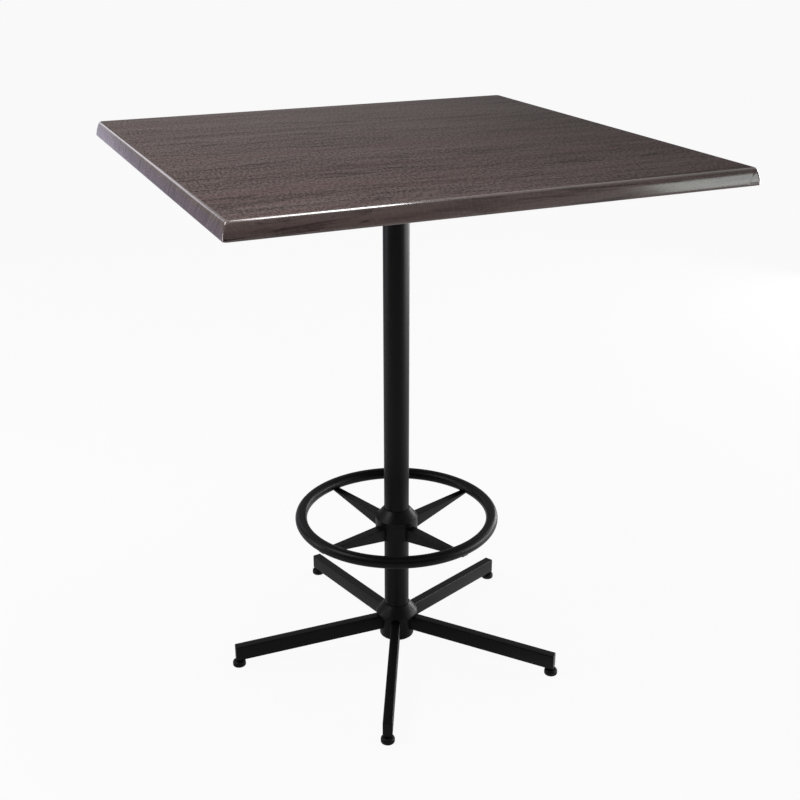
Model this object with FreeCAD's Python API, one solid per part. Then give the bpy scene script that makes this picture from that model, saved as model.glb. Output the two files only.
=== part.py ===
import FreeCAD, Part
import math
import os

from FreeCAD import Placement, Rotation, Vector

# Pedestal pub table: a moulded square top on one round column, a spoked foot ring
# and a base of five legs on screw glides.
# Millimetres and degrees, +Z up. Origin on the floor, under the middle of the top.
# The sides of the top lie along X and Y. Legs, spokes and what goes with them are
# drawn along +X and then turned to their places.

# ---------------------------------------------------------------- whole table
TABLE_HEIGHT = 1066.8
BASE_TURN = -26.5  # how far the legs and the foot ring are turned against the top

# ------------------------------------------------------------------- clearances
WELD_GAP = 0.05  # between parts that are welded or pressed together
SLIP_GAP = 0.10  # between the column and what slides over it
RUNNING_GAP = 0.06  # radial, threads and swivels
SHOULDER_GAP = 0.30  # between faces that stop short of each other

# --------------------------------------------------------------- moulded top
TOP_SIDE = 914.4  # over the lower rim
TOP_EDGE_HEIGHT = 28.6
TOP_PANEL_THICKNESS = 20.0
TOP_CORNER_RADIUS = 6.0
EDGE_ROLL_RADIUS = 5.0  # where the face rolls over
EDGE_SHOULDER_ANGLE = 68.0  # slope of the edge below the roll
EDGE_BELLY_RADIUS = 86.0
RIM_ROUND = 1.5
RIM_LAND = 7.0  # flat width that the rim ends in
RECESS_DRAFT = 4.0  # how far the recess narrows towards the panel
RECESS_CORNER_RADIUS = 3.0

# ------------------------------------------------- plate under the top, screws
PLATE_SIDE = 300.0
PLATE_THICKNESS = 5.0
PLATE_CLIP = 45.0  # leg of the triangle clipped off each corner
PLATE_HOLE_INSET = 22.0
SCREW_RADIUS = 2.4
SCREW_LENGTH = 18.0
SCREW_HEAD_RADIUS = 4.8
SCREW_HEAD_HEIGHT = 3.0
SCREW_HOLE_CLEARANCE = 0.4
COLUMN_WELD_SIZE = 5.0

# ---------------------------------------------------------------------- column
COLUMN_DIAMETER = 50.8
COLUMN_WALL = 2.0
COLUMN_PLUG_LENGTH = 22.0

# ------------------------------------------------------- cone collar, used twice
COLLAR_RADIUS = 43.3
COLLAR_LIP = 6.0
COLLAR_CONE_HEIGHT = 20.0
COLLAR_CREST = 1.2  # flat width at the top of the cone
SPIGOT_RADIUS = 35.8  # the hub's top, which the collar sits over
SPIGOT_HEIGHT = 5.0
COLLAR_EDGE_BREAK = 0.8

# -------------------------------------------------------------------- foot ring
RING_HEIGHT = 305.2  # to the middle of the tube
RING_RADIUS = 195.6  # to the middle of the tube
RING_TUBE_RADIUS = 12.0
RING_TUBE_WALL = 2.0
RING_HUB_HEIGHT = 34.5
RING_COLLAR_DROP = 8.2  # from the middle of the ring down to the collar's underside
SPOKE_COUNT = 4
SPOKE_FIRST_ANGLE = 45.0
SPOKE_ROOT_WIDTH = 22.6
SPOKE_TIP_WIDTH = 15.0
SPOKE_TIP_DEPTH = 2.6
SPOKE_DROP = 7.0  # from the collar down to the spoke's top at the hub
SPOKE_SADDLE = 0.5  # how deep the ring lies in each spoke
SPOKE_OVERRUN = 4.0  # past the middle of the ring's tube
SPOKE_EDGE_ROUND = 0.9
SET_SCREW_RADIUS = 4.0
SET_SCREW_LENGTH = 16.0
SET_SCREW_SOCKET = 4.0  # across flats
SET_SCREW_SOCKET_DEPTH = 4.0
SET_SCREW_ANGLES = (70.0, 110.0)

# --------------------------------------------------------------------- base hub
HUB_RADIUS = 35.8
HUB_SKIRT = 17.1  # from the legs' underside down to the hub's
HUB_SHOW = 0.6  # between the legs' tops and the collar
HUB_POCKET_DEPTH = 12.5
HUB_WEB_THICKNESS = 8.0
HUB_POCKET_RADIUS = 26.0
BOLT_RADIUS = 6.0
BOLT_HEAD_FLATS = 19.0
BOLT_HEAD_HEIGHT = 7.5
BOLT_HOLE_CLEARANCE = 0.5
BOLT_ENGAGEMENT = 18.0
WASHER_RADIUS = 12.0
WASHER_THICKNESS = 2.5

# ------------------------------------------------------------------------- legs
LEG_COUNT = 5
LEG_FIRST_ANGLE = 270.0
LEG_WIDTH = 19.05
LEG_HEIGHT = 31.75
LEG_WALL = 2.0
LEG_CORNER_ROUND = 2.0
LEG_SLOPE = 4.77  # degrees downwards
LEG_REACH = 346.2  # from the column's axis to the end face
LEG_CAP_THICKNESS = 2.0
LEG_CAP_BREAK = 1.0
LEG_PLUG_LENGTH = 22.0
WELD_BEAD_RADIUS = 3.2

# ----------------------------------------------------------------------- glides
GLIDE_INSET = 6.7  # from the leg's end face to the glide's axis
PAD_RADIUS = 13.5
PAD_HEIGHT = 12.4
PAD_SHOULDER_BREAK = 4.0
PAD_FOOT_BREAK = 2.0
PAD_FLOOR = 5.0  # under the stem's foot
STEM_FOOT_RADIUS = 7.0
STEM_HEX_FLATS = 13.0  # a thin hexagon, for a flat spanner
STEM_HEX_HEIGHT = 1.6
STEM_RADIUS = 3.0
STEM_LENGTH = 27.0  # above the hexagon
STEM_NOTCH_CLEARANCE = 0.6

# ---------------------------------------------------------------- derived values
COLUMN_RADIUS = COLUMN_DIAMETER / 2
COLUMN_BORE = COLUMN_RADIUS + SLIP_GAP
PANEL_UNDERSIDE = TABLE_HEIGHT - TOP_PANEL_THICKNESS
PLATE_UNDERSIDE = PANEL_UNDERSIDE - PLATE_THICKNESS

# the base stands on its glides, and each height above them follows from the one below
GLIDE_REACH = LEG_REACH - GLIDE_INSET
LEG_FALL = math.tan(math.radians(LEG_SLOPE))
LEG_BORE_ROUND = LEG_WALL / 4
STEM_HEX_RADIUS = STEM_HEX_FLATS / math.sqrt(3)
STEM_HEX_BOTTOM = PAD_HEIGHT + SHOULDER_GAP
STEM_HEX_TOP = STEM_HEX_BOTTOM + STEM_HEX_HEIGHT
GLIDE_SEAT = STEM_HEX_TOP + SHOULDER_GAP + STEM_HEX_RADIUS * LEG_FALL
LEG_HALF_RISE = LEG_HEIGHT / 2 / math.cos(math.radians(LEG_SLOPE))
LEG_ROOT_HEIGHT = GLIDE_SEAT + LEG_HALF_RISE + (GLIDE_REACH - HUB_RADIUS) * LEG_FALL
LEG_ROOT_TOP = LEG_ROOT_HEIGHT + LEG_HALF_RISE
LEG_ROOT_BOTTOM = LEG_ROOT_HEIGHT - LEG_HALF_RISE
HUB_BOTTOM = LEG_ROOT_BOTTOM - HUB_SKIRT
HUB_WEB_BOTTOM = HUB_BOTTOM + HUB_POCKET_DEPTH
HUB_COLLAR_HEIGHT = LEG_ROOT_TOP + HUB_SHOW
COLUMN_FOOT = HUB_WEB_BOTTOM + HUB_WEB_THICKNESS

RING_COLLAR_HEIGHT = RING_HEIGHT - RING_COLLAR_DROP
RING_HUB_BOTTOM = RING_COLLAR_HEIGHT - RING_HUB_HEIGHT
SET_SCREW_HEIGHT = RING_HUB_BOTTOM + RING_HUB_HEIGHT / 2

Z_AXIS = Vector(0, 0, 1)
ORIGIN = Vector(0, 0, 0)


def turned(shape, angle):
    """Copy of a shape, turned about the table's upright axis."""
    copy = shape.copy()
    copy.rotate(ORIGIN, Z_AXIS, angle)
    return copy


def rod(radius, bottom, top, x=0.0, y=0.0):
    """Upright round rod between two heights."""
    return Part.makeCylinder(radius, top - bottom, Vector(x, y, bottom))


def spun(points):
    """Solid of revolution about Z from (radius, height) corners; neighbours that agree count once."""
    corners = [Vector(r, 0, z) for i, (r, z) in enumerate(points) if (r, z) != points[i - 1]]
    outline = Part.makePolygon(corners + corners[:1])
    return Part.Face(outline).revolve(ORIGIN, Z_AXIS, 360)


def hexagon_bar(flats, bottom, top):
    """Upright hexagonal bar about Z, given across its flats."""
    radius = flats / math.sqrt(3)
    corners = []
    for i in range(6):
        angle = math.radians(60 * i)
        corners.append(Vector(radius * math.cos(angle), radius * math.sin(angle), bottom))
    outline = Part.makePolygon(corners + corners[:1])
    return Part.Face(outline).extrude(Vector(0, 0, top - bottom))


def rounded_rectangle(width, depth, radius, z=0.0):
    """Level closed wire about Z, with round corners."""
    x, y = width / 2, depth / 2
    slant = radius * (1 - math.sqrt(0.5))
    edges = []
    corners = ((1, 1), (-1, 1), (-1, -1), (1, -1))
    for i, (sx, sy) in enumerate(corners):
        along_x = Vector(sx * (x - radius), sy * y, z)
        along_y = Vector(sx * x, sy * (y - radius), z)
        middle = Vector(sx * (x - slant), sy * (y - slant), z)
        start, end = (along_y, along_x) if sx * sy > 0 else (along_x, along_y)
        edges.append(Part.Arc(start, middle, end).toShape())
        nx, ny = corners[(i + 1) % 4]
        if sx * sy > 0:
            following = Vector(nx * (x - radius), ny * y, z)
        else:
            following = Vector(nx * x, ny * (y - radius), z)
        edges.append(Part.makeLine(end, following))
    return Part.Wire(edges)


def edge_section():
    """Upright face across the whole top: flat above, rolled and flared at both edges."""
    shoulder = math.radians(EDGE_SHOULDER_ANGLE)
    roll_out = EDGE_ROLL_RADIUS * math.sin(shoulder)
    roll_down = EDGE_ROLL_RADIUS * (1 - math.cos(shoulder))
    belly_down = TOP_EDGE_HEIGHT - roll_down - RIM_ROUND
    foot = math.acos(math.cos(shoulder) - belly_down / EDGE_BELLY_RADIUS)
    belly_out = EDGE_BELLY_RADIUS * (math.sin(foot) - math.sin(shoulder))
    rim_out = RIM_ROUND * (1 - math.sin(foot))
    flat_half = TOP_SIDE / 2 - roll_out - belly_out - rim_out

    def on_roll(angle):
        return Vector(
            flat_half + EDGE_ROLL_RADIUS * math.sin(angle),
            0,
            TABLE_HEIGHT - EDGE_ROLL_RADIUS * (1 - math.cos(angle)),
        )

    def on_belly(angle):
        return Vector(
            flat_half + roll_out + EDGE_BELLY_RADIUS * (math.sin(angle) - math.sin(shoulder)),
            0,
            TABLE_HEIGHT - roll_down - EDGE_BELLY_RADIUS * (math.cos(shoulder) - math.cos(angle)),
        )

    rim_start = on_belly(foot)
    rim_centre = Vector(
        rim_start.x - RIM_ROUND * math.sin(foot), 0, rim_start.z - RIM_ROUND * math.cos(foot)
    )

    def on_rim(angle):
        return rim_centre + Vector(RIM_ROUND * math.sin(angle), 0, RIM_ROUND * math.cos(angle))

    rim_end = on_rim(math.pi)
    half = [
        Part.Arc(on_roll(0), on_roll(shoulder / 2), on_roll(shoulder)).toShape(),
        Part.Arc(on_belly(shoulder), on_belly((shoulder + foot) / 2), on_belly(foot)).toShape(),
        Part.Arc(rim_start, on_rim((foot + math.pi) / 2), rim_end).toShape(),
    ]
    other = [edge.mirror(ORIGIN, Vector(1, 0, 0)) for edge in half]
    level_top = Part.makeLine(on_roll(0), Vector(-flat_half, 0, TABLE_HEIGHT))
    level_foot = Part.makeLine(rim_end, Vector(-rim_end.x, 0, rim_end.z))
    ordered = Part.sortEdges(half + other + [level_top, level_foot])[0]
    return Part.Face(Part.Wire(ordered))


def screw_places():
    """Where the screws go: four near the plate's clipped corners, four at its sides."""
    side = PLATE_SIDE / 2 - PLATE_HOLE_INSET
    corner = side - PLATE_CLIP / 2
    corners = [(sx * corner, sy * corner) for sx in (1, -1) for sy in (1, -1)]
    sides = [(side, 0), (-side, 0), (0, side), (0, -side)]
    return corners + sides


def make_table_top():
    """Moulded panel with a rolled edge, hollow below inside its rim."""
    section = edge_section()
    half = TOP_SIDE / 2
    along_y = section.copy()
    along_y.translate(Vector(0, -half, 0))
    along_y = along_y.extrude(Vector(0, TOP_SIDE, 0))
    panel = along_y.common(turned(along_y, 90))
    outline = rounded_rectangle(TOP_SIDE, TOP_SIDE, TOP_CORNER_RADIUS, TABLE_HEIGHT - TOP_EDGE_HEIGHT)
    panel = panel.common(Part.Face(outline).extrude(Vector(0, 0, TOP_EDGE_HEIGHT)))
    mouth = TOP_SIDE - 2 * (RIM_ROUND + RIM_LAND)
    rim_foot = TABLE_HEIGHT - TOP_EDGE_HEIGHT
    wide = rounded_rectangle(mouth, mouth, RECESS_CORNER_RADIUS, rim_foot)
    ceiling = mouth - 2 * RECESS_DRAFT
    narrow = rounded_rectangle(ceiling, ceiling, RECESS_CORNER_RADIUS, PANEL_UNDERSIDE)
    panel = panel.cut(Part.makeLoft([wide, narrow], True, True))
    pilot_depth = SCREW_LENGTH - PLATE_THICKNESS + SHOULDER_GAP
    for x, y in screw_places():
        pilot = rod(SCREW_RADIUS + WELD_GAP, PANEL_UNDERSIDE, PANEL_UNDERSIDE + pilot_depth, x, y)
        panel = panel.cut(pilot)
    return panel


def make_mounting_plate():
    """Steel plate with clipped corners, welded to the column and screwed to the top."""
    half = PLATE_SIDE / 2
    near = half - PLATE_CLIP
    corners = []
    for a, b in ((half, near), (near, half), (-near, half), (-half, near)):
        corners.append(Vector(a, b, PLATE_UNDERSIDE))
    corners += [Vector(-c.x, -c.y, c.z) for c in corners]
    plate = Part.Face(Part.makePolygon(corners + corners[:1])).extrude(Vector(0, 0, PLATE_THICKNESS))
    for x, y in screw_places():
        hole = rod(SCREW_RADIUS + SCREW_HOLE_CLEARANCE, PLATE_UNDERSIDE, PANEL_UNDERSIDE, x, y)
        plate = plate.cut(hole)
    return plate


def make_top_screws():
    """Domed wood screws, each a solid of its own."""
    head_foot = PLATE_UNDERSIDE - SCREW_HEAD_HEIGHT
    screw = spun([
        (0, head_foot),
        (SCREW_HEAD_RADIUS - SCREW_HEAD_HEIGHT / 2, head_foot),
        (SCREW_HEAD_RADIUS, head_foot + SCREW_HEAD_HEIGHT / 2),
        (SCREW_HEAD_RADIUS, PLATE_UNDERSIDE),
        (SCREW_RADIUS, PLATE_UNDERSIDE),
        (SCREW_RADIUS, PLATE_UNDERSIDE + SCREW_LENGTH),
        (0, PLATE_UNDERSIDE + SCREW_LENGTH),
    ])
    screws = []
    for x, y in screw_places():
        copy = screw.copy()
        copy.translate(Vector(x, y, 0))
        screws.append(copy)
    return Part.makeCompound(screws)


def make_column_tube():
    """Column from the hub's shoulder to the plate under the top."""
    outside = rod(COLUMN_RADIUS, COLUMN_FOOT, PLATE_UNDERSIDE)
    return outside.cut(rod(COLUMN_RADIUS - COLUMN_WALL, COLUMN_FOOT, PLATE_UNDERSIDE))


def make_column_weld():
    """Fillet weld round the column under the plate."""
    inside = COLUMN_RADIUS + WELD_GAP
    return spun([
        (inside, PLATE_UNDERSIDE),
        (inside + COLUMN_WELD_SIZE, PLATE_UNDERSIDE),
        (inside, PLATE_UNDERSIDE - COLUMN_WELD_SIZE),
    ])


def make_column_plug():
    """Round nut in the column's foot that the bolt draws down."""
    radius = COLUMN_RADIUS - COLUMN_WALL - WELD_GAP
    body = rod(radius, COLUMN_FOOT, COLUMN_FOOT + COLUMN_PLUG_LENGTH)
    return body.cut(rod(BOLT_RADIUS + RUNNING_GAP, COLUMN_FOOT, COLUMN_FOOT + COLUMN_PLUG_LENGTH))


def make_collar(underside):
    """Cone collar that hides the joint between a hub and the column."""
    lip_top = underside + COLLAR_LIP
    crest = lip_top + COLLAR_CONE_HEIGHT
    seat = underside + SPIGOT_HEIGHT + SHOULDER_GAP
    socket = SPIGOT_RADIUS + WELD_GAP
    cone = spun([
        (COLUMN_BORE, crest),
        (COLUMN_BORE, seat),
        (socket, seat),
        (socket, underside),
        (COLLAR_RADIUS, underside),
        (COLLAR_RADIUS, lip_top),
        (COLUMN_BORE + COLLAR_CREST, crest),
    ])
    rim = [
        e for e in cone.Edges
        if abs(e.BoundBox.XMax - COLLAR_RADIUS) < WELD_GAP and abs(e.BoundBox.ZMin - lip_top) < WELD_GAP
        and e.BoundBox.ZLength < WELD_GAP
    ]
    return cone.makeChamfer(COLLAR_EDGE_BREAK, rim)


def make_ring_hub():
    """Hub that slides up the column, with a spigot for its collar and two tapped holes."""
    spigot_top = RING_COLLAR_HEIGHT + SPIGOT_HEIGHT
    hub = spun([
        (COLUMN_BORE, RING_HUB_BOTTOM),
        (COLLAR_RADIUS, RING_HUB_BOTTOM),
        (COLLAR_RADIUS, RING_COLLAR_HEIGHT),
        (SPIGOT_RADIUS, RING_COLLAR_HEIGHT),
        (SPIGOT_RADIUS, spigot_top),
        (COLUMN_BORE, spigot_top),
    ])
    start = Vector(0, 0, SET_SCREW_HEIGHT)
    hole = Part.makeCylinder(SET_SCREW_RADIUS + RUNNING_GAP, COLLAR_RADIUS, start, Vector(1, 0, 0))
    for angle in SET_SCREW_ANGLES:
        hub = hub.cut(turned(hole, angle + BASE_TURN))
    return hub


def make_ring_set_screws():
    """Socket set screws that bear on the column, each a solid of its own."""
    tip = Vector(COLUMN_RADIUS + RUNNING_GAP, 0, SET_SCREW_HEIGHT)
    screw = Part.makeCylinder(SET_SCREW_RADIUS, SET_SCREW_LENGTH, tip, Vector(1, 0, 0))
    socket = hexagon_bar(SET_SCREW_SOCKET, 0, SET_SCREW_SOCKET_DEPTH)
    socket_floor = tip + Vector(SET_SCREW_LENGTH - SET_SCREW_SOCKET_DEPTH, 0, 0)
    socket.Placement = Placement(socket_floor, Rotation(Vector(0, 1, 0), 90))
    screw = screw.cut(socket)
    return Part.makeCompound([turned(screw, angle + BASE_TURN) for angle in SET_SCREW_ANGLES])


def make_foot_ring():
    """Round tube bent into a full ring."""
    centre = Vector(0, 0, RING_HEIGHT)
    outside = Part.makeTorus(RING_RADIUS, RING_TUBE_RADIUS, centre)
    return outside.cut(Part.makeTorus(RING_RADIUS, RING_TUBE_RADIUS - RING_TUBE_WALL, centre))


def make_spoke(angle):
    """Spoke that tapers in width and depth from the hub to a thin tip under the ring."""
    root_top = RING_COLLAR_HEIGHT - SPOKE_DROP
    root_depth = root_top - RING_HUB_BOTTOM
    tip_top = RING_HEIGHT - RING_TUBE_RADIUS + SPOKE_SADDLE
    inner = COLLAR_RADIUS - SPOKE_ROOT_WIDTH / 2
    outer = RING_RADIUS + SPOKE_OVERRUN

    def between(x, root, tip):
        share = (x - COLLAR_RADIUS) / (RING_RADIUS - COLLAR_RADIUS)
        return root + share * (tip - root)

    def top(x):
        return between(x, root_top, tip_top)

    def bottom(x):
        return between(x, RING_HUB_BOTTOM, tip_top - SPOKE_TIP_DEPTH)

    def half_width(x):
        return between(x, SPOKE_ROOT_WIDTH, SPOKE_TIP_WIDTH) / 2

    side = [Vector(x, -SPOKE_ROOT_WIDTH, z(x)) for x, z in (
        (inner, top), (outer, top), (outer, bottom), (inner, bottom)
    )]
    profile = Part.Face(Part.makePolygon(side + side[:1])).extrude(Vector(0, 2 * SPOKE_ROOT_WIDTH, 0))
    base = RING_HUB_BOTTOM - root_depth
    plan = [Vector(x, turn * half_width(x), base) for x, turn in (
        (inner, 1), (outer, 1), (outer, -1), (inner, -1)
    )]
    outline = Part.Face(Part.makePolygon(plan + plan[:1])).extrude(Vector(0, 0, RING_HEIGHT - base))
    blank = profile.common(outline)
    long_edges = [e for e in blank.Edges if e.BoundBox.XLength > (outer - inner) / 2]
    blank = blank.makeFillet(SPOKE_EDGE_ROUND, long_edges)
    hub = rod(COLLAR_RADIUS + WELD_GAP, base, RING_HEIGHT)
    ring = Part.makeTorus(RING_RADIUS, RING_TUBE_RADIUS + WELD_GAP, Vector(0, 0, RING_HEIGHT))
    return turned(blank.cut(hub).cut(ring), angle + BASE_TURN)


def make_base_hub():
    """Hub with a socket for the column above its web and a pocket for the bolt below."""
    spigot_top = HUB_COLLAR_HEIGHT + SPIGOT_HEIGHT
    hole = BOLT_RADIUS + BOLT_HOLE_CLEARANCE
    return spun([
        (hole, COLUMN_FOOT),
        (COLUMN_BORE, COLUMN_FOOT),
        (COLUMN_BORE, spigot_top),
        (SPIGOT_RADIUS, spigot_top),
        (SPIGOT_RADIUS, HUB_COLLAR_HEIGHT),
        (HUB_RADIUS, HUB_COLLAR_HEIGHT),
        (HUB_RADIUS, HUB_BOTTOM),
        (HUB_POCKET_RADIUS, HUB_BOTTOM),
        (HUB_POCKET_RADIUS, HUB_WEB_BOTTOM),
        (hole, HUB_WEB_BOTTOM),
    ])


def make_column_washer():
    """Washer under the column bolt's head."""
    bottom = HUB_WEB_BOTTOM - WASHER_THICKNESS
    ring = rod(WASHER_RADIUS, bottom, HUB_WEB_BOTTOM)
    return ring.cut(rod(BOLT_RADIUS + BOLT_HOLE_CLEARANCE, bottom, HUB_WEB_BOTTOM))


def make_column_bolt():
    """Hexagon-headed bolt up through the web into the column's plug."""
    head_top = HUB_WEB_BOTTOM - WASHER_THICKNESS
    head = hexagon_bar(BOLT_HEAD_FLATS, head_top - BOLT_HEAD_HEIGHT, head_top)
    shank = rod(BOLT_RADIUS, head_top, COLUMN_FOOT + BOLT_ENGAGEMENT)
    return head.fuse(shank)


def leg_bar(clearance, corner_round):
    """Sloping bar along +X, smaller than the leg by a clearance all round, longer at both ends."""
    height, width = LEG_HEIGHT - 2 * clearance, LEG_WIDTH - 2 * clearance
    section = Part.Face(rounded_rectangle(height, width, corner_round))
    section.Placement = Placement(Vector(0, 0, LEG_ROOT_HEIGHT), Rotation(Vector(0, 1, 0), 90))
    bar = section.extrude(Vector(LEG_REACH + LEG_HEIGHT, 0, 0))
    bar.rotate(Vector(HUB_RADIUS, 0, LEG_ROOT_HEIGHT), Vector(0, 1, 0), LEG_SLOPE)
    return bar


def slab(start, end):
    """Upright block across a leg between two distances from the column's axis."""
    return Part.makeBox(
        end - start, 2 * LEG_WIDTH, LEG_ROOT_TOP + LEG_HEIGHT, Vector(start, -LEG_WIDTH, -LEG_HEIGHT / 2)
    )


def make_leg(angle):
    """Rectangular tube, coped to the hub and notched below for the glide's stem."""
    tube = leg_bar(0, LEG_CORNER_ROUND).cut(leg_bar(LEG_WALL, LEG_BORE_ROUND))
    tube = tube.common(slab(0, LEG_REACH - LEG_CAP_THICKNESS))
    tube = tube.cut(rod(HUB_RADIUS + WELD_GAP, 0, LEG_ROOT_TOP + LEG_HEIGHT))
    notch = rod(STEM_RADIUS + STEM_NOTCH_CLEARANCE, 0, STEM_HEX_TOP + LEG_HEIGHT / 2, GLIDE_REACH)
    return turned(tube.cut(notch), angle + BASE_TURN)


def make_leg_cap(angle):
    """End cap with a block inside the tube, tapped for the glide's stem."""
    face_start = LEG_REACH - LEG_CAP_THICKNESS
    plate = leg_bar(0, LEG_CORNER_ROUND).common(slab(face_start, LEG_REACH))
    rim = [e for e in plate.Edges if e.BoundBox.XMin > LEG_REACH - WELD_GAP]
    plate = plate.makeChamfer(LEG_CAP_BREAK, rim)
    block = leg_bar(LEG_WALL + WELD_GAP, LEG_BORE_ROUND)
    block = block.common(slab(face_start - LEG_PLUG_LENGTH, face_start))
    tapping = rod(STEM_RADIUS + RUNNING_GAP, 0, LEG_ROOT_TOP, GLIDE_REACH)
    return turned(plate.fuse(block).cut(tapping), angle + BASE_TURN)


def make_leg_welds():
    """Upright beads in the corners between the legs and the hub, each a solid of its own."""
    side = LEG_WIDTH / 2
    corner = math.sqrt(HUB_RADIUS**2 - side**2)
    top = LEG_ROOT_TOP - LEG_CORNER_ROUND
    bottom = LEG_ROOT_BOTTOM + LEG_CORNER_ROUND
    hub = rod(HUB_RADIUS + WELD_GAP, bottom, top)
    clear_width = LEG_WIDTH + 2 * WELD_GAP
    keep_out = Part.makeBox(LEG_REACH, clear_width, LEG_HEIGHT, Vector(0, -clear_width / 2, bottom))
    beads = []
    for i in range(LEG_COUNT):
        for y in (side, -side):
            bead = rod(WELD_BEAD_RADIUS, bottom, top, corner, y).cut(hub).cut(keep_out)
            beads.append(turned(bead, LEG_FIRST_ANGLE + 360 / LEG_COUNT * i + BASE_TURN))
    return Part.makeCompound(beads)


def make_glide_pad(angle):
    """Round foot with a socket that its stem turns in."""
    socket = STEM_FOOT_RADIUS + RUNNING_GAP
    pad = spun([
        (0, 0),
        (PAD_RADIUS - PAD_FOOT_BREAK, 0),
        (PAD_RADIUS, PAD_FOOT_BREAK),
        (PAD_RADIUS, PAD_HEIGHT - PAD_SHOULDER_BREAK),
        (PAD_RADIUS - PAD_SHOULDER_BREAK, PAD_HEIGHT),
        (socket, PAD_HEIGHT),
        (socket, PAD_FLOOR),
        (0, PAD_FLOOR),
    ])
    pad.translate(Vector(GLIDE_REACH, 0, 0))
    return turned(pad, angle + BASE_TURN)


def make_glide_stem(angle):
    """Stem: a round foot in the pad, a hexagon to turn it by and a threaded shank."""
    foot = rod(STEM_FOOT_RADIUS, PAD_FLOOR + WELD_GAP, STEM_HEX_BOTTOM)
    grip = hexagon_bar(STEM_HEX_FLATS, STEM_HEX_BOTTOM, STEM_HEX_TOP)
    shank = rod(STEM_RADIUS, STEM_HEX_TOP, STEM_HEX_TOP + STEM_LENGTH)
    stem = foot.fuse(grip).fuse(shank)
    stem.translate(Vector(GLIDE_REACH, 0, 0))
    return turned(stem, angle + BASE_TURN)


def make_nodes():
    """Every piece of the table, by the name of its node."""
    nodes = {
        "table_top": make_table_top(),
        "mounting_plate": make_mounting_plate(),
        "top_screws": make_top_screws(),
        "column_tube": make_column_tube(),
        "column_top_weld": make_column_weld(),
        "column_plug": make_column_plug(),
        "column_bolt": make_column_bolt(),
        "column_washer": make_column_washer(),
        "base_hub": make_base_hub(),
        "base_collar": make_collar(HUB_COLLAR_HEIGHT),
        "leg_welds": make_leg_welds(),
        "ring_hub": make_ring_hub(),
        "ring_collar": make_collar(RING_COLLAR_HEIGHT),
        "ring_set_screws": make_ring_set_screws(),
        "foot_ring": make_foot_ring(),
    }
    for i in range(SPOKE_COUNT):
        angle = SPOKE_FIRST_ANGLE + 360 / SPOKE_COUNT * i
        nodes[f"ring_spoke_{i + 1}"] = make_spoke(angle)
    for i in range(LEG_COUNT):
        angle = LEG_FIRST_ANGLE + 360 / LEG_COUNT * i
        nodes[f"leg_{i + 1}"] = make_leg(angle)
        nodes[f"leg_cap_{i + 1}"] = make_leg_cap(angle)
        nodes[f"glide_pad_{i + 1}"] = make_glide_pad(angle)
        nodes[f"glide_stem_{i + 1}"] = make_glide_stem(angle)
    return nodes


os.makedirs("parts", exist_ok=True)
for name, shape in make_nodes().items():
    shape.exportStep(f"parts/{name}.step")
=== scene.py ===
"""Pub table: its detailed pieces, finishes, light and camera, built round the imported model."""

import logging
import math
from dataclasses import dataclass, field
from enum import Enum

import bmesh
import bpy
from mathutils import Matrix, Vector


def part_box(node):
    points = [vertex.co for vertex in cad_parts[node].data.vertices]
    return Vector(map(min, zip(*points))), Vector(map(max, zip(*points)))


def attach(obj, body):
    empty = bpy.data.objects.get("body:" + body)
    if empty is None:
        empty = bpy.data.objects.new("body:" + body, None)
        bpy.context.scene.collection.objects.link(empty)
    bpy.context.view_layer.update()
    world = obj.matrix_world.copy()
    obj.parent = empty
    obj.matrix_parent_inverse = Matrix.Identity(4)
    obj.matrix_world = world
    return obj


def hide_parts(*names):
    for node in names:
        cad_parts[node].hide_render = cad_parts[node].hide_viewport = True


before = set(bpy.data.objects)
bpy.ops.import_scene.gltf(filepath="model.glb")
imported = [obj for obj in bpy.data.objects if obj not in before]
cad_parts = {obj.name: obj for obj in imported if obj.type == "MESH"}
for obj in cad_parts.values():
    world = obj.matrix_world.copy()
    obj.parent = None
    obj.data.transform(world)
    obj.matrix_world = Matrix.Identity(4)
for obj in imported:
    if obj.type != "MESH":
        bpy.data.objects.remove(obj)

log = logging.getLogger("pub_table")

MM = 0.001
WELD_DISTANCE = 1e-7
FAR_END_DEPTH = 4 * MM
ROOT_BODY = "table"
LEG_NUMBERS = range(1, 6)
SPOKE_NUMBERS = range(1, 5)
RGB = tuple[float, float, float]
Point = tuple[float, float, float]
Mesh = bmesh.types.BMesh
Face = bmesh.types.BMFace
Node = bpy.types.Node
NodeTree = bpy.types.NodeTree
Socket = bpy.types.NodeSocket
Material = bpy.types.Material
Piece = bpy.types.Object


class Slot(Enum):
    """Names of the record's material slots."""

    TOP = "wood_grain_top"
    PAINT = "black_paint"
    BLACK_STEEL = "black_zinc_steel"
    PLASTIC = "glide_plastic"


class Shading(Enum):
    """How a finished mesh is shaded, by the angle in degrees past which an edge is sharp."""

    ROUND = 180.0
    EDGED = 38.0


# --- node graphs


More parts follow.
